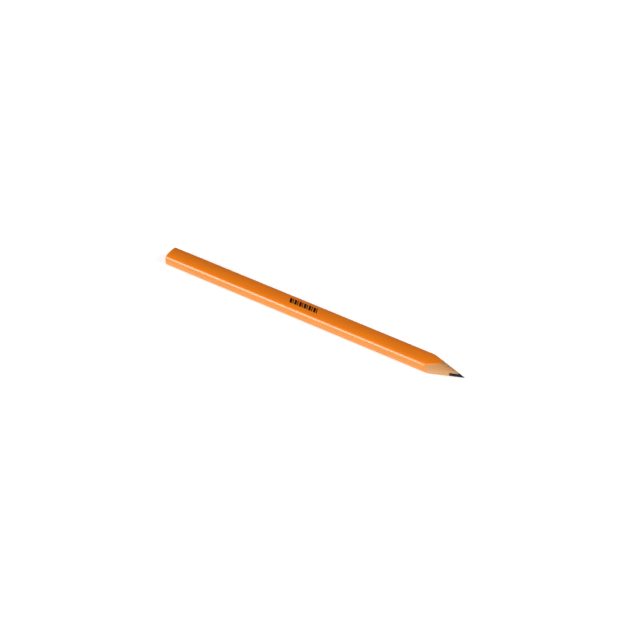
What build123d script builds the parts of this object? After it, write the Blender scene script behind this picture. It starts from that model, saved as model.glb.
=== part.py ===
from build123d import *

import math
import os

# A carpenter's pencil, lying on a broad face with its point towards +X.
# The origin is under the middle of the pencil, on the surface it lies on.
# X runs along the pencil, Y across its width and Z through its thickness.

# Driving dimensions, in millimetres and degrees.
LENGTH = 178.0  # butt to point
BODY_WIDTH = 10.4  # over the lacquer, side to side
BODY_THICKNESS = 7.35  # over the lacquer, broad face to broad face
FACE_LAND = 1.0  # flat strip down the middle of each broad face
FACE_CROWN = 0.92  # fall of a broad face from its land to the edge, before rounding
SIDE_CROWN = 0.31  # bulge of a narrow side
EDGE_RADIUS = 2.2  # rounding of the four long edges
BUTT_ROUNDING = 0.4  # rounding of the rim at the butt end
LACQUER_THICKNESS = 0.12
CORE_WIDTH = 4.2
CORE_THICKNESS = 1.95
CORE_EDGE_RADIUS = 0.5
GLUE_THICKNESS = 0.08
POINT_HALF_ANGLE = 14.87  # of the sharpened cone
TIP_RADIUS = 0.08  # of the blunted end of the point
TIP_ROUNDING = 0.05
IMPRINT_THICKNESS = 0.03
IMPRINT_CENTRE_X = -4.85
IMPRINT_HEIGHT = 3.3  # across the pencil
IMPRINT_SLANT = 112.0  # of the bars, from the pencil's length
BROAD_BAR_WIDTH = 1.35
NARROW_BAR_WIDTH = 0.6
BAR_GAP = 0.35  # between the two bars of a pair
PAIR_PITCH = 2.85
PAIR_COUNT = 6

# Sizes that follow from them.
AXIS_HEIGHT = BODY_THICKNESS / 2
BUTT_X = -LENGTH / 2
POINT_X = LENGTH / 2
CLEAR_RADIUS = BODY_WIDTH  # outside the body all round
CONE_SLOPE = math.tan(math.radians(POINT_HALF_ANGLE))
SEAM_TOP = AXIS_HEIGHT + GLUE_THICKNESS / 2
SEAM_BOTTOM = AXIS_HEIGHT - GLUE_THICKNESS / 2
WOOD_CHAMFER = BUTT_ROUNDING * 0.85  # keeps the lacquer's end a narrow band of its own
WOOD_HALF_WIDTH = BODY_WIDTH / 2 - LACQUER_THICKNESS
BAR_LEAN = IMPRINT_HEIGHT / 2 / math.tan(math.radians(IMPRINT_SLANT))
PAIR_WIDTH = BROAD_BAR_WIDTH + BAR_GAP + NARROW_BAR_WIDTH

# The butt's plane: its X is the pencil's Y, and its Y is the pencil's Z.
BUTT = Plane(origin=(BUTT_X, 0, AXIS_HEIGHT), x_dir=(0, 1, 0), z_dir=(1, 0, 0))


def cone_x(radius):
    """Returns where along X the sharpened cone has this radius."""
    return POINT_X - (radius - TIP_RADIUS) / CONE_SLOPE


def pencil_section(inset):
    """Returns the cross-section at the butt, drawn in by inset from the lacquer's surface.

    Its broad faces and narrow sides are crowned, and its four corners are rounded.
    """
    half_land = FACE_LAND / 2
    half_thickness = BODY_THICKNESS / 2 - inset
    half_width = BODY_WIDTH / 2 - inset
    corner_y = half_width - SIDE_CROWN
    corner_z = half_thickness - FACE_CROWN
    with BuildSketch(BUTT) as section:
        with BuildLine():
            Line((-half_land, half_thickness), (half_land, half_thickness))
            TangentArc((half_land, half_thickness), (corner_y, corner_z), tangent=(1, 0))
            ThreePointArc((corner_y, corner_z), (half_width, 0), (corner_y, -corner_z))
            TangentArc((half_land, -half_thickness), (corner_y, -corner_z), tangent=(1, 0))
            Line((half_land, -half_thickness), (-half_land, -half_thickness))
            TangentArc((-half_land, -half_thickness), (-corner_y, -corner_z), tangent=(-1, 0))
            ThreePointArc((-corner_y, -corner_z), (-half_width, 0), (-corner_y, corner_z))
            TangentArc((-half_land, half_thickness), (-corner_y, corner_z), tangent=(-1, 0))
        make_face()
        corners = section.vertices().filter_by(lambda vertex: abs(vertex.X) > half_land * 2)
        fillet(corners, radius=EDGE_RADIUS - inset)
    return section.sketch


def slanted_bar(start, width):
    """Draws one bar of the stamped mark, which starts at this X halfway up."""
    Polygon(
        (start - BAR_LEAN, -IMPRINT_HEIGHT / 2),
        (start + width - BAR_LEAN, -IMPRINT_HEIGHT / 2),
        (start + width + BAR_LEAN, IMPRINT_HEIGHT / 2),
        (start + BAR_LEAN, IMPRINT_HEIGHT / 2),
        align=None,
    )


with BuildSketch(BUTT) as core_section:
    RectangleRounded(CORE_WIDTH, CORE_THICKNESS, CORE_EDGE_RADIUS)


# The space that the sharpener leaves: a cylinder clear of the body, ending in a blunted cone.
with BuildPart() as sharpened_space:
    with BuildSketch(Plane.XY.offset(AXIS_HEIGHT)) as half_profile:
        with BuildLine() as cone_line:
            Polyline(
                (BUTT_X, 0),
                (BUTT_X, CLEAR_RADIUS),
                (cone_x(CLEAR_RADIUS), CLEAR_RADIUS),
                (POINT_X, TIP_RADIUS),
                (POINT_X, 0),
                close=True,
            )
        make_face()
        tip_corner = half_profile.vertices().sort_by(Axis.X)[-2:].sort_by(Axis.Y)[-1]
        fillet(tip_corner, radius=TIP_ROUNDING)
    revolve(axis=Axis((0, 0, AXIS_HEIGHT), (1, 0, 0)))

# The wood before lacquering, full length and not yet sharpened, with its butt rim eased.
with BuildPart() as wood_blank:
    extrude(pencil_section(LACQUER_THICKNESS), amount=LENGTH)
    butt_rim = wood_blank.faces().sort_by(Axis.X)[0].edges()
    chamfer(butt_rim, length=WOOD_CHAMFER)

# The coat over the wood, which the sharpener cuts back to a scalloped edge.
with BuildPart() as lacquer_coat:
    extrude(pencil_section(0), amount=LENGTH)
    butt_rim = lacquer_coat.faces().sort_by(Axis.X)[0].edges()
    fillet(butt_rim, radius=BUTT_ROUNDING)
    add(wood_blank.part, mode=Mode.SUBTRACT)
    add(sharpened_space.part, mode=Mode.INTERSECT)

# The writing core: a flat bar right through the pencil, tapered by the same cone.
with BuildPart() as graphite_core:
    extrude(core_section.sketch, amount=LENGTH)
    add(sharpened_space.part, mode=Mode.INTERSECT)

# The two slats, each with half of the core's channel, on either side of the seam.
with BuildPart() as upper_slat:
    add(wood_blank.part)
    split(bisect_by=Plane.XY.offset(SEAM_TOP), keep=Keep.TOP)
    extrude(core_section.sketch, amount=LENGTH, mode=Mode.SUBTRACT)
    add(sharpened_space.part, mode=Mode.INTERSECT)

with BuildPart() as lower_slat:
    add(wood_blank.part)
    split(bisect_by=Plane.XY.offset(SEAM_BOTTOM), keep=Keep.BOTTOM)
    extrude(core_section.sketch, amount=LENGTH, mode=Mode.SUBTRACT)
    add(sharpened_space.part, mode=Mode.INTERSECT)

# The glue lines, one in the seam on each side of the core. Left is +Y, facing the point.
# In the seam's plane the sharpened cone is a straight line, so each is a flat strip.
with BuildPart() as left_glue_line:
    with BuildSketch(Plane.XY.offset(SEAM_BOTTOM)):
        Polygon(
            (BUTT_X, CORE_WIDTH / 2),
            (cone_x(CORE_WIDTH / 2), CORE_WIDTH / 2),
            (cone_x(WOOD_HALF_WIDTH), WOOD_HALF_WIDTH),
            (BUTT_X + WOOD_CHAMFER, WOOD_HALF_WIDTH),
            (BUTT_X, WOOD_HALF_WIDTH - WOOD_CHAMFER),
            align=None,
        )
    extrude(amount=GLUE_THICKNESS)

with BuildPart() as right_glue_line:
    mirror(left_glue_line.part, about=Plane.XZ)

# The stamped mark on the upper broad face: pairs of slanted bars, one broad and one narrow,
# as one thin film that follows the crown of the face.
with BuildPart() as imprint:
    with BuildSketch(Plane.XY.offset(AXIS_HEIGHT)) as mark:
        with Locations((IMPRINT_CENTRE_X, 0)):
            with GridLocations(PAIR_PITCH, 0, PAIR_COUNT, 1):
                slanted_bar(-PAIR_WIDTH / 2, BROAD_BAR_WIDTH)
                slanted_bar(PAIR_WIDTH / 2 - NARROW_BAR_WIDTH, NARROW_BAR_WIDTH)
    extrude(amount=BODY_THICKNESS)
    extrude(pencil_section(-IMPRINT_THICKNESS), amount=LENGTH, mode=Mode.INTERSECT)
    extrude(pencil_section(0), amount=LENGTH, mode=Mode.SUBTRACT)


upper_slat.part.label = "upper_slat"
lower_slat.part.label = "lower_slat"
left_glue_line.part.label = "left_glue_line"
right_glue_line.part.label = "right_glue_line"
graphite_core.part.label = "graphite_core"
lacquer_coat.part.label = "lacquer_coat"
imprint.part.label = "imprint"

os.makedirs("parts", exist_ok=True)
export_step(upper_slat.part, "parts/upper_slat.step")
export_step(lower_slat.part, "parts/lower_slat.step")
export_step(left_glue_line.part, "parts/left_glue_line.step")
export_step(right_glue_line.part, "parts/right_glue_line.step")
export_step(graphite_core.part, "parts/graphite_core.step")
export_step(lacquer_coat.part, "parts/lacquer_coat.step")
export_step(imprint.part, "parts/imprint.step")
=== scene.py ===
"""The looks of a carpenter's pencil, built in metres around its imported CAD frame."""

import math

import bpy
import numpy as np
from mathutils import Matrix, Vector, noise


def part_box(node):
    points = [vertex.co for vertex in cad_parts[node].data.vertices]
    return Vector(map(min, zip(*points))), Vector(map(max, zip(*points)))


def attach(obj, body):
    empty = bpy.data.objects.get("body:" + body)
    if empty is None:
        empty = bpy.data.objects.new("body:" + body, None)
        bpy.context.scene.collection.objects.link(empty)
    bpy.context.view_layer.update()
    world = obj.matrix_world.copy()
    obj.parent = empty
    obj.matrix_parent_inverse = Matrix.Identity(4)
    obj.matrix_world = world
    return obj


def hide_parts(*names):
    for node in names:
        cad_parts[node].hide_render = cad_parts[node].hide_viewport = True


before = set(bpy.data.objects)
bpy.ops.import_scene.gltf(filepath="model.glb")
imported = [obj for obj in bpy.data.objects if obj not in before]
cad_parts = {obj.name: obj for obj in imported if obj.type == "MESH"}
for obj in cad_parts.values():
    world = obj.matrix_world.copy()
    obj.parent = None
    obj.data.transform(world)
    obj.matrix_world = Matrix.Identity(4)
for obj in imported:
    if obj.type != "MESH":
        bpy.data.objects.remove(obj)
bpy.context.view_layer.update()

MM = 0.001

# ---------------------------------------------------------------- sizes, from the frame
BODY_LOW, BODY_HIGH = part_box("lacquer_coat")
CORE_LOW, CORE_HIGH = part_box("graphite_core")
GLUE_LOW, GLUE_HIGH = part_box("left_glue_line")

BUTT_X = BODY_LOW.x
POINT_X = CORE_HIGH.x
AXIS_Z = (BODY_LOW.z + BODY_HIGH.z) / 2
HALF_WIDTH = (BODY_HIGH.y - BODY_LOW.y) / 2
HALF_THICKNESS = (BODY_HIGH.z - BODY_LOW.z) / 2
CORE_HALF_WIDTH = (CORE_HIGH.y - CORE_LOW.y) / 2
CORE_HALF_THICKNESS = (CORE_HIGH.z - CORE_LOW.z) / 2
HALF_GLUE = (GLUE_HIGH.z - GLUE_LOW.z) / 2

# The section's own shape, as in the part.
HALF_LAND = 0.5 * MM
FACE_CROWN = 0.92 * MM
SIDE_CROWN = 0.31 * MM
EDGE_RADIUS = 2.2 * MM
CORE_EDGE_RADIUS = 0.5 * MM
LACQUER = 0.12 * MM
BUTT_ROUNDING = 0.4 * MM
WOOD_CHAMFER = 0.34 * MM
CONE_SLOPE = math.tan(math.radians(14.87))
TIP_RADIUS = 0.08 * MM
APEX_X = POINT_X + TIP_RADIUS / CONE_SLOPE

# The camera's place, from the middle of the pencil, and its lens.
CAMERA_AZIMUTH = math.radians(31.998)
CAMERA_ELEVATION = math.radians(41.639)
CAMERA_DISTANCE = 0.8254
CAMERA_AIM = Vector((1.80 * MM, 0.45 * MM, AXIS_Z - 0.08 * MM))
CAMERA_LENS = 91.8

FLOOR_HALF = 2.0
WHITE = (1.0, 1.0, 1.0, 1.0)

# How finely the pieces are cut.
LACQUER_STEPS = 150  # along the outside of the coat
LACQUER_INNER_STEPS = 12  # along its inside
RIM_STEPS = 9  # round the butt's rim
SLAT_ANGLES = 181  # round half of the pencil
END_GRAIN_STEPS = 12  # across the butt face
SLAT_STEPS = 8  # along a slat's hidden sides
CONE_STEPS = 42  # along the sharpened wood
CORE_STEPS = 10  # along the hidden core
POINT_STEPS = 40  # along the core's cone
CORE_EASE = 0.04 * MM  # of the core's edge at the butt


# ---------------------------------------------------------------- camera, lights and floor
def make_camera():
    """A long lens from the front right and above, aimed at the middle of the pencil."""
    level = math.cos(CAMERA_ELEVATION)
    back = Vector(
        (
            math.sin(CAMERA_AZIMUTH) * level,
            -math.cos(CAMERA_AZIMUTH) * level,
            math.sin(CAMERA_ELEVATION),
        )
    )
    data = bpy.data.cameras.new("camera")
    data.lens = CAMERA_LENS
    data.sensor_width = 36.0
    data.clip_start = 0.05
    data.clip_end = 20.0
    camera = bpy.data.objects.new("camera", data)
    camera.location = CAMERA_AIM + back * CAMERA_DISTANCE
    camera.rotation_mode = "QUATERNION"
    camera.rotation_quaternion = (-back).to_track_quat("-Z", "Y")
    bpy.context.scene.collection.objects.link(camera)
    bpy.context.scene.camera = camera


def area_light(name, direction, distance, size, power):
    """A softbox that faces the middle of the pencil, its width lying along the pencil."""
    data = bpy.data.lights.new(name, "AREA")
    data.shape = "RECTANGLE"
    data.size, data.size_y = size
    data.energy = power
    light = bpy.data.objects.new(name, data)
    out = Vector(direction).normalized()
    tall = out.cross(Vector((1, 0, 0))).normalized()
    wide = tall.cross(out)
    turn = Matrix((wide, tall, out)).transposed().to_4x4()
    place = Vector((0, 0, AXIS_Z)) + out * distance
    light.matrix_world = Matrix.Translation(place) @ turn
    bpy.context.scene.collection.objects.link(light)


def make_world():
    """A dim room for light and reflections, which the camera sees as a pale backdrop."""
    world = bpy.data.worlds.new("studio")
    world.use_nodes = True
    tree = world.node_tree
    tree.nodes.clear()
    output = tree.nodes.new("ShaderNodeOutputWorld")
    mix = tree.nodes.new("ShaderNodeMixShader")
    path = tree.nodes.new("ShaderNodeLightPath")
    room = tree.nodes.new("ShaderNodeBackground")
    room.inputs["Color"].default_value = WHITE
    room.inputs["Strength"].default_value = 0.08
    backdrop = tree.nodes.new("ShaderNodeBackground")
    backdrop.inputs["Color"].default_value = WHITE
    backdrop.inputs["Strength"].default_value = 1.0
    tree.links.new(path.outputs["Is Camera Ray"], mix.inputs["Fac"])
    tree.links.new(room.outputs["Background"], mix.inputs[1])
    tree.links.new(backdrop.outputs["Background"], mix.inputs[2])
    tree.links.new(mix.outputs["Shader"], output.inputs["Surface"])
    bpy.context.scene.world = world


def make_floor():
    """A pale, faintly glowing table top."""
    mesh = bpy.data.meshes.new("floor")
    signs = ((-1, -1), (1, -1), (1, 1), (-1, 1))
    corners = [(x * FLOOR_HALF, y * FLOOR_HALF, 0) for x, y in signs]
    mesh.from_pydata(corners, [], [(0, 1, 2, 3)])
    floor = bpy.data.objects.new("floor", mesh)
    floor.location.z = BODY_LOW.z
    bpy.context.scene.collection.objects.link(floor)
    material = bpy.data.materials.new("floor")
    material.use_nodes = True
    shader = material.node_tree.nodes["Principled BSDF"]
    shader.inputs["Base Color"].default_value = (0.8, 0.8, 0.8, 1)
    shader.inputs["Roughness"].default_value = 0.9
    shader.inputs["Specular IOR Level"].default_value = 0.1
    shader.inputs["Emission Color"].default_value = WHITE
    shader.inputs["Emission Strength"].default_value = 0.46
    mesh.materials.append(material)


# ---------------------------------------------------------------- the sections
def arc(centre, radius, start, end, count):
    """Points on an arc, without its last one."""
    angles = np.linspace(start, end, count, endpoint=False)
    return [(centre[0] + radius * math.cos(a), centre[1] + radius * math.sin(a)) for a in angles]


def body_quarter():
    """The outline from the middle of the upper face round to the middle of the side."""
    corner_y = HALF_WIDTH - SIDE_CROWN
    corner_z = HALF_THICKNESS - FACE_CROWN
    face_radius = ((corner_y - HALF_LAND) ** 2 + FACE_CROWN**2) / (2 * FACE_CROWN)
    side_radius = (corner_z**2 + SIDE_CROWN**2) / (2 * SIDE_CROWN)
    face_centre = np.array((HALF_LAND, HALF_THICKNESS - face_radius))
    side_centre = np.array((HALF_WIDTH - side_radius, 0.0))
    # The edge's rounding touches both arcs from inside, so its centre is where two circles meet.
    reach_face = face_radius - EDGE_RADIUS
    reach_side = side_radius - EDGE_RADIUS
    between = side_centre - face_centre
    gap = float(np.hypot(*between))
    along = (reach_face**2 - reach_side**2 + gap**2) / (2 * gap)
    across = math.sqrt(reach_face**2 - along**2)
    unit = between / gap
    middle = face_centre + unit * along
    candidates = [middle + across * np.array((-unit[1], unit[0])) * sign for sign in (1, -1)]
    edge_centre = max(candidates, key=lambda point: point[0] + point[1])
    face_turn = math.atan2(*(edge_centre - face_centre)[::-1])
    side_turn = math.atan2(*(edge_centre - side_centre)[::-1])
    points = [(HALF_LAND * step / 3, HALF_THICKNESS) for step in range(3)]
    points += arc(face_centre, face_radius, math.pi / 2, face_turn, 16)
    points += arc(edge_centre, EDGE_RADIUS, face_turn, side_turn, 14)
    points += arc(side_centre, side_radius, side_turn, 0, 8)
    return points


def round_from_quarter(quarter, side_end):
    """A whole outline, anticlockwise from +Y, from a quarter that runs from +Z to +Y."""
    first = [side_end] + quarter[::-1]
    second = [(-y, z) for y, z in quarter[1:]] + [(-side_end[0], side_end[1])]
    upper = first + second
    lower = [(-y, -z) for y, z in upper[1:-1]]
    return np.array(upper + lower)


def core_quarter():
    """The core's outline from the middle of its upper face to the middle of its side."""
    flat_y = CORE_HALF_WIDTH - CORE_EDGE_RADIUS
    flat_z = CORE_HALF_THICKNESS - CORE_EDGE_RADIUS
    points = [(flat_y * step / 10, CORE_HALF_THICKNESS) for step in range(10)]
    points += arc((flat_y, flat_z), CORE_EDGE_RADIUS, math.pi / 2, 0, 10)
    points += [(CORE_HALF_WIDTH, flat_z * (1 - step / 5)) for step in range(5)]
    return points


def normals_of(outline):
    """Outward unit normals of an anticlockwise outline."""
    along = np.roll(outline, -1, axis=0) - np.roll(outline, 1, axis=0)
    across = np.stack([along[:, 1], -along[:, 0]], 1)
    return across / np.hypot(*across.T)[:, None]


BODY_OUTLINE = round_from_quarter(body_quarter(), (HALF_WIDTH, 0.0))
BODY_NORMALS = normals_of(BODY_OUTLINE)
CORE_OUTLINE = round_from_quarter(core_quarter(), (CORE_HALF_WIDTH, 0.0))


def polar(outline):
    """Returns a function from an angle about the axis to the outline's distance there."""
    angles = np.arctan2(outline[:, 1], outline[:, 0])
    order = np.argsort(angles)
    angles, radii = angles[order], np.hypot(*outline.T)[order]

    def radius(angle):
        return np.interp(angle, angles, radii, period=2 * math.pi)

    return radius


def cone_x(radius):
    """Where along X the sharpened cone has this radius."""
    return APEX_X - radius / CONE_SLOPE


# ---------------------------------------------------------------- mesh building
def fbm(x, y, z, octaves=4):
    """Smooth noise of about -1 to 1 at a point."""
    return noise.fractal(Vector((x, y, z)), 1.0, 2.0, octaves)


def mesh_object(name, vertices, faces, material, node, sharp_degrees=35):
    """Links a smooth-shaded piece, sharp where its faces turn, that stands for a CAD node."""
    mesh = bpy.data.meshes.new(name)
    mesh.from_pydata([tuple(v) for v in vertices], [], faces)
    mesh.validate()
    mesh.polygons.foreach_set("use_smooth", [True] * len(mesh.polygons))
    mesh.set_sharp_from_angle(angle=math.radians(sharp_degrees))
    mesh.materials.append(material)
    piece = bpy.data.objects.new(name, mesh)
    bpy.context.scene.collection.objects.link(piece)
    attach(piece, "root")
    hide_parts(node)
    return piece


def ring_faces(columns, rows):
    """Quads of a closed band: columns wrap round the pencil, and rows wrap round its profile."""
    faces = []
    for column in range(columns):
        after = (column + 1) % columns
        for row in range(rows):
            below = (row + 1) % rows
            faces.append(
                (
                    column * rows + row,
                    after * rows + row,
                    after * rows + below,
                    column * rows + below,
                )
            )
    return faces


def make_lacquer(material):
    """The coat: a closed shell with a rounded butt rim and a scalloped, slightly ragged cut edge."""
    body_steps = np.linspace(0, 1, LACQUER_STEPS)
    inner_steps = np.linspace(1, 0, LACQUER_INNER_STEPS)
    inner_start_x = BUTT_X + WOOD_CHAMFER
    vertices = []
    rows = None
    for (y, z), (ny, nz) in zip(BODY_OUTLINE, BODY_NORMALS):
        column = []

        def place(x, inset):
            column.append((x, y - ny * inset, AXIS_Z + z - nz * inset))

        radius = math.hypot(y, z)
        inner_radius = math.hypot(y - ny * LACQUER, z - nz * LACQUER)
        place(BUTT_X, LACQUER + WOOD_CHAMFER)
        for turn in np.linspace(0, math.pi / 2, RIM_STEPS):
            inset = BUTT_ROUNDING * (1 - math.sin(turn))
            place(BUTT_X + BUTT_ROUNDING * (1 - math.cos(turn)), inset)
        ragged = fbm(y * 2600, z * 2600, 3.1) * 0.05 * MM
        ragged += fbm(y * 500, z * 500, 9.4) * 0.09 * MM
        cut_x = cone_x(radius) + ragged
        start_x = BUTT_X + BUTT_ROUNDING
        for step in body_steps[1:]:
            x = start_x + (cut_x - start_x) * step
            ripple = fbm(x * 30, y * 900, z * 900, 3) * 0.004 * MM
            place(x, -ripple * min(1.0, (1 - step) * 40))
        inner_x = cone_x(inner_radius) + ragged
        place(cut_x + (inner_x - cut_x) * 0.5, LACQUER * 0.5)
        place(inner_x, LACQUER)
        for step in inner_steps[1:-1]:
            place(inner_start_x + (inner_x - inner_start_x) * step, LACQUER)
        place(inner_start_x, LACQUER)
        rows = len(column)
        vertices += column
    faces = ring_faces(len(BODY_OUTLINE), rows)
    return mesh_object("lacquer_skin", vertices, faces, material, "lacquer_coat")


def make_slat(name, node, side, material):
    """Half of the wood: a band round the axis with its end grain, its channel and its cut cone."""
    wood_outline = BODY_OUTLINE - BODY_NORMALS * LACQUER
    rim_outline = BODY_OUTLINE - BODY_NORMALS * (LACQUER + WOOD_CHAMFER)
    wood_radius, rim_radius, core_radius = map(polar, (wood_outline, rim_outline, CORE_OUTLINE))
    angles = np.linspace(0, math.pi, SLAT_ANGLES) * side
    start_x = BUTT_X + WOOD_CHAMFER
    vertices = []
    columns = len(angles)
    rows = None
    for angle in angles:
        cos, sin = math.cos(angle), math.sin(angle)
        outer, rim, inner = wood_radius(angle), rim_radius(angle), core_radius(angle)
        column = []

        def place(x, radius, lift=0.0):
            y, z = radius * cos, radius * sin
            z = max(abs(z), HALF_GLUE) * side
            column.append((x + lift, y, AXIS_Z + z))

        for share in np.linspace(0, 1, END_GRAIN_STEPS):
            radius = inner + (rim - inner) * share
            grain = fbm(radius * cos * 3000, radius * sin * 3000, 1.7, 3) * 0.012 * MM
            place(BUTT_X, radius, abs(grain) if 0 < share < 1 else 0.0)
        place(start_x, outer)
        cut_x = cone_x(outer)
        for share in np.linspace(0, 1, SLAT_STEPS)[1:]:
            place(start_x + (cut_x - start_x) * share, outer)
        for share in np.linspace(0, 1, CONE_STEPS)[1:]:
            radius = outer + (inner - outer) * share
            fibre = fbm(cone_x(radius) * 60, radius * cos * 2400, radius * sin * 2400, 3)
            relief = fibre * 0.008 * MM * math.sin(math.pi * share) ** 0.5
            place(cone_x(radius), radius + relief)
        for share in np.linspace(1, 0, SLAT_STEPS)[1:-1]:
            place(BUTT_X + (cone_x(inner) - BUTT_X) * share, inner)
        rows = len(column)
        vertices += column
    faces = [face for face in ring_faces(columns, rows) if max(face) - min(face) < rows * 2]
    faces.append(tuple(range(rows)))
    faces.append(tuple(range(columns * rows - 1, (columns - 1) * rows - 1, -1)))
    if side < 0:
        faces = [face[::-1] for face in faces]
    return mesh_object(name, vertices, faces, material, node)


def make_core(material):
    """The core: a flat bar with its sharpened, slightly blunted point."""
    core_radius = polar(CORE_OUTLINE)
    angles = np.arctan2(CORE_OUTLINE[:, 1], CORE_OUTLINE[:, 0])
    start_x = BUTT_X + CORE_EASE
    vertices = [(BUTT_X, 0.0, AXIS_Z)]
    rows = None
    for angle in angles:
        cos, sin = math.cos(angle), math.sin(angle)
        outer = float(core_radius(angle))
        column = []

        def place(x, radius):
            column.append((x, radius * cos, AXIS_Z + radius * sin))

        for share in (0.35, 0.7, 0.93):
            place(BUTT_X, outer * share)
        place(start_x, outer)
        cut_x = cone_x(outer)
        for share in np.linspace(0, 1, CORE_STEPS)[1:]:
            place(start_x + (cut_x - start_x) * share, outer)
        for share in np.linspace(0, 1, POINT_STEPS)[1:]:
            radius = outer + (TIP_RADIUS - outer) * share
            scratch = fbm(cone_x(radius) * 900, angle * 6, 4.4, 3) * 0.006 * MM * (1 - share)
            place(cone_x(radius), radius + scratch)
        for share in (0.8, 0.5, 0.2):
            place(POINT_X - TIP_RADIUS * 0.15 * share, TIP_RADIUS * share)
        rows = len(column)
        vertices += column
    vertices.append((POINT_X, 0.0, AXIS_Z))
    columns = len(angles)
    faces = []
    for column in range(columns):
        here = 1 + column * rows
        there = 1 + (column + 1) % columns * rows
        faces.append((0, there, here))
        for row in range(rows - 1):
            faces.append((here + row, there + row, there + row + 1, here + row + 1))
        faces.append((here + rows - 1, there + rows - 1, len(vertices) - 1))
    return mesh_object("graphite_lead", vertices, faces, material, "graphite_core")


# ---------------------------------------------------------------- materials
class Nodes:
    """A short way to build one material's node tree."""

    def __init__(self, name):
        self.material = bpy.data.materials.new(name)
        self.material.use_nodes = True
        self.tree = self.material.node_tree
        self.shader = self.tree.nodes["Principled BSDF"]
        self.place = self.add("ShaderNodeTexCoord").outputs["Object"]

    def add(self, kind, **values):
        node = self.tree.nodes.new(kind)
        for key, value in values.items():
            setattr(node, key, value)
        return node

    def link(self, output, target):
        self.tree.links.new(output, target)

    def stretched(self, scale, turn=(0.0, 0.0, 0.0)):
        """Object coordinates in millimetres, scaled along each axis."""
        mapping = self.add("ShaderNodeMapping")
        mapping.inputs["Scale"].default_value = [1000.0 * value for value in scale]
        mapping.inputs["Rotation"].default_value = turn
        self.link(self.place, mapping.inputs["Vector"])
        return mapping.outputs["Vector"]

    def noise(self, vector, scale=1.0, detail=4.0, roughness=0.55, distortion=0.0):
        node = self.add("ShaderNodeTexNoise")
        node.inputs["Scale"].default_value = scale
        node.inputs["Detail"].default_value = detail
        node.inputs["Roughness"].default_value = roughness
        node.inputs["Distortion"].default_value = distortion
        self.link(vector, node.inputs["Vector"])
        return node.outputs["Fac"]

    def remap(self, value, low, high, to_low, to_high):
        node = self.add("ShaderNodeMapRange", clamp=True)
        for key, number in zip(
            ("From Min", "From Max", "To Min", "To Max"), (low, high, to_low, to_high)
        ):
            node.inputs[key].default_value = number
        self.link(value, node.inputs["Value"])
        return node.outputs["Result"]

    def ramp(self, value, stops):
        node = self.add("ShaderNodeValToRGB")
        elements = node.color_ramp.elements
        while len(elements) < len(stops):
            elements.new(0.5)
        for element, (position, color) in zip(elements, stops):
            element.position = position
            element.color = (*color, 1.0)
        self.link(value, node.inputs["Fac"])
        return node.outputs["Color"]

    def mix(self, factor, first, second, blend="MIX"):
        """Mixes two colours, each a socket or a plain colour."""
        node = self.add("ShaderNodeMix", data_type="RGBA", blend_type=blend)
        sources = (factor, first, second)
        for source, target in zip(sources, (node.inputs[0], node.inputs[6], node.inputs[7])):
            if isinstance(source, bpy.types.NodeSocket):
                self.link(source, target)
            elif isinstance(source, (int, float)):
                target.default_value = source
            else:
                target.default_value = (*source, 1.0)
        return node.outputs[2]

    def size_of(self, value):
        """The value without its sign."""
        node = self.add("ShaderNodeMath", operation="ABSOLUTE")
        self.link(value, node.inputs[0])
        return node.outputs["Value"]

    def part_of_place(self, axis):
        """One of the object coordinates, in metres."""
        node = self.add("ShaderNodeSeparateXYZ")
        self.link(self.place, node.inputs["Vector"])
        return node.outputs[axis]

    def bump(self, height, distance, strength=1.0):
        node = self.add("ShaderNodeBump")
        node.inputs["Strength"].default_value = strength
        node.inputs["Distance"].default_value = distance
        self.link(height, node.inputs["Height"])
        self.link(node.outputs["Normal"], self.shader.inputs["Normal"])


def lacquer_material():
    """Glossy orange lacquer with the grain under it, and a painted sheen that tints the narrow sides
    yellower and less red.
    """
    nodes = Nodes("orange_lacquer")
    grain = nodes.noise(nodes.stretched((0.05, 3.2, 3.2)), 1.0, 5.0, 0.6)
    cloud = nodes.noise(nodes.stretched((0.05, 0.25, 0.25)), 1.0, 2.0, 0.5)
    color = nodes.ramp(
        grain,
        [
            (0.30, (0.81, 0.188, 0.0034)),
            (0.50, (0.87, 0.206, 0.0040)),
            (0.72, (0.90, 0.218, 0.0048)),
        ],
    )
    shade = nodes.ramp(cloud, [(0.35, (0.96, 0.95, 0.94)), (0.65, (1.0, 1.0, 1.0))])
    color = nodes.mix(1.0, color, shade, "MULTIPLY")
    # Painted sheen: the narrow sides are tinted yellower and less red, as they look when lit.
    sideways = nodes.size_of(nodes.part_of_place("Y"))
    sheen_sides_mask = nodes.remap(sideways, HALF_WIDTH * 0.88, HALF_WIDTH * 0.96, 0.0, 1.0)
    painted_side_sheen = nodes.mix(1.0, color, (0.825, 1.1, 1.2), "MULTIPLY")
    nodes.link(nodes.mix(sheen_sides_mask, color, painted_side_sheen), nodes.shader.inputs["Base Color"])
    fine = nodes.noise(nodes.stretched((0.4, 5.0, 5.0)), 1.0, 3.0)
    nodes.link(nodes.remap(fine, 0.3, 0.7, 0.22, 0.28), nodes.shader.inputs["Roughness"])
    nodes.shader.inputs["IOR"].default_value = 1.65
    nodes.bump(nodes.noise(nodes.stretched((0.07, 2.4, 2.4)), 1.0, 4.0), 0.015 * MM)
    return nodes.material


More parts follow.
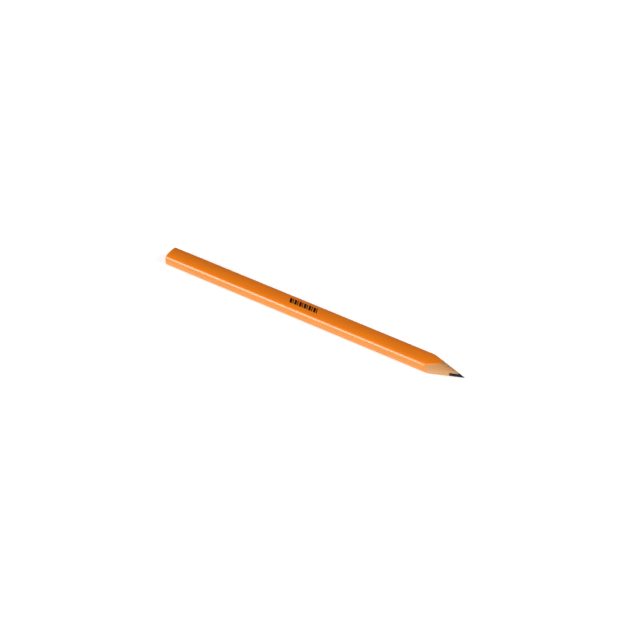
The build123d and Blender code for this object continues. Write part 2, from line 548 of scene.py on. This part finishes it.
def wood_material():
    """Bare sharpened softwood: growth layers, fibres and dark pores, with painted shade that darkens
    it towards the top and leaves it paler below.
    """
    nodes = Nodes("bare_softwood")
    layers = nodes.add("ShaderNodeTexWave", wave_type="BANDS", bands_direction="Z", wave_profile="SAW")
    layers.inputs["Scale"].default_value = 0.42
    layers.inputs["Distortion"].default_value = 2.2
    layers.inputs["Detail"].default_value = 2.0
    layers.inputs["Detail Scale"].default_value = 0.6
    nodes.link(nodes.stretched((0.05, 0.5, 1.0), (0.35, 0.0, 0.0)), layers.inputs["Vector"])
    fibre = nodes.noise(nodes.stretched((0.16, 6.0, 6.0)), 1.0, 5.0, 0.65)
    pores = nodes.noise(nodes.stretched((0.8, 9.0, 9.0)), 1.0, 2.0, 0.5)
    base = nodes.ramp(
        layers.outputs["Fac"],
        [
            (0.0, (0.68, 0.36, 0.148)),
            (0.55, (0.64, 0.325, 0.128)),
            (0.9, (0.52, 0.24, 0.088)),
            (1.0, (0.64, 0.325, 0.128)),
        ],
    )
    fibres = nodes.ramp(
        fibre,
        [(0.3, (0.72, 0.65, 0.58)), (0.52, (1.0, 1.0, 1.0)), (0.75, (1.08, 1.08, 1.06))],
    )
    flecks = nodes.ramp(pores, [(0.30, (0.62, 0.50, 0.40)), (0.38, (1.0, 1.0, 1.0))])
    color = nodes.mix(1.0, nodes.mix(1.0, base, fibres, "MULTIPLY"), flecks, "MULTIPLY")
    # Painted shade: the wood is darkened towards the top and left paler and cooler below.
    low, high = AXIS_Z - 0.5 * MM, AXIS_Z + 2.2 * MM
    height = nodes.remap(nodes.part_of_place("Z"), low, high, 0.0, 1.0)
    painted_height_shade = nodes.ramp(height, [(0.0, (1.04, 1.12, 1.24)), (1.0, (0.84, 0.82, 0.80))])
    color = nodes.mix(1.0, color, painted_height_shade, "MULTIPLY")
    nodes.link(color, nodes.shader.inputs["Base Color"])
    nodes.link(nodes.remap(fibre, 0.3, 0.7, 0.62, 0.8), nodes.shader.inputs["Roughness"])
    nodes.shader.inputs["IOR"].default_value = 1.45
    nodes.shader.inputs["Specular IOR Level"].default_value = 0.3
    nodes.bump(fibre, 0.03 * MM)
    return nodes.material


def graphite_material():
    """Cut graphite: near black, with a faint sheen and fine scratches."""
    nodes = Nodes("cut_graphite")
    scratch = nodes.noise(nodes.stretched((7.0, 0.7, 0.7)), 1.0, 4.0, 0.6)
    speck = nodes.noise(nodes.stretched((5.0, 5.0, 5.0)), 1.0, 3.0, 0.6)
    color = nodes.ramp(speck, [(0.3, (0.004, 0.005, 0.006)), (0.7, (0.012, 0.015, 0.019))])
    nodes.link(color, nodes.shader.inputs["Base Color"])
    nodes.link(nodes.remap(scratch, 0.3, 0.7, 0.45, 0.62), nodes.shader.inputs["Roughness"])
    nodes.shader.inputs["IOR"].default_value = 1.5
    nodes.shader.inputs["Specular IOR Level"].default_value = 0.2
    nodes.bump(scratch, 0.02 * MM)
    return nodes.material


def glue_material():
    """Dried wood glue, a little darker than the wood."""
    nodes = Nodes("dried_glue")
    color = nodes.ramp(
        nodes.noise(nodes.stretched((1.2, 6.0, 6.0))),
        [(0.3, (0.24, 0.12, 0.045)), (0.7, (0.36, 0.19, 0.08))],
    )
    nodes.link(color, nodes.shader.inputs["Base Color"])
    nodes.shader.inputs["Roughness"].default_value = 0.45
    nodes.bump(nodes.noise(nodes.stretched((2.0, 6.0, 6.0))), 0.01 * MM)
    return nodes.material


def imprint_material():
    """Black stamping foil with pinholes where it didn't take."""
    nodes = Nodes("black_foil")
    pinholes = nodes.noise(nodes.stretched((4.0, 5.5, 5.5)), 1.0, 3.0, 0.6)
    color = nodes.ramp(
        pinholes,
        [(0.22, (0.25, 0.06, 0.004)), (0.26, (0.004, 0.003, 0.003)), (0.8, (0.008, 0.006, 0.005))],
    )
    nodes.link(color, nodes.shader.inputs["Base Color"])
    nodes.link(nodes.remap(pinholes, 0.3, 0.7, 0.5, 0.6), nodes.shader.inputs["Roughness"])
    nodes.shader.inputs["Specular IOR Level"].default_value = 0.12
    nodes.bump(pinholes, 0.008 * MM)
    return nodes.material


def dress(node, material):
    """Gives a CAD node that stays its own material."""
    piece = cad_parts[node]
    piece.data.materials.clear()
    piece.data.materials.append(material)


# ---------------------------------------------------------------- the scene
make_camera()
make_world()
make_floor()
area_light("front_softbox", (-0.41, -0.84, 0.355), 3.0, (1.0, 1.9), 54.5)
area_light("top_softbox", (0.15, -0.48, 0.86), 1.6, (0.8, 0.8), 10.0)
area_light("right_softbox", (0.84, 0.0, 0.54), 2.2, (1.1, 1.1), 24.5)
bpy.context.scene.view_settings.view_transform = "Standard"

wood = wood_material()
make_lacquer(lacquer_material())
make_slat("upper_wood", "upper_slat", 1, wood)
make_slat("lower_wood", "lower_slat", -1, wood)
make_core(graphite_material())
glue = glue_material()
dress("left_glue_line", glue)
dress("right_glue_line", glue)
dress("imprint", imprint_material())
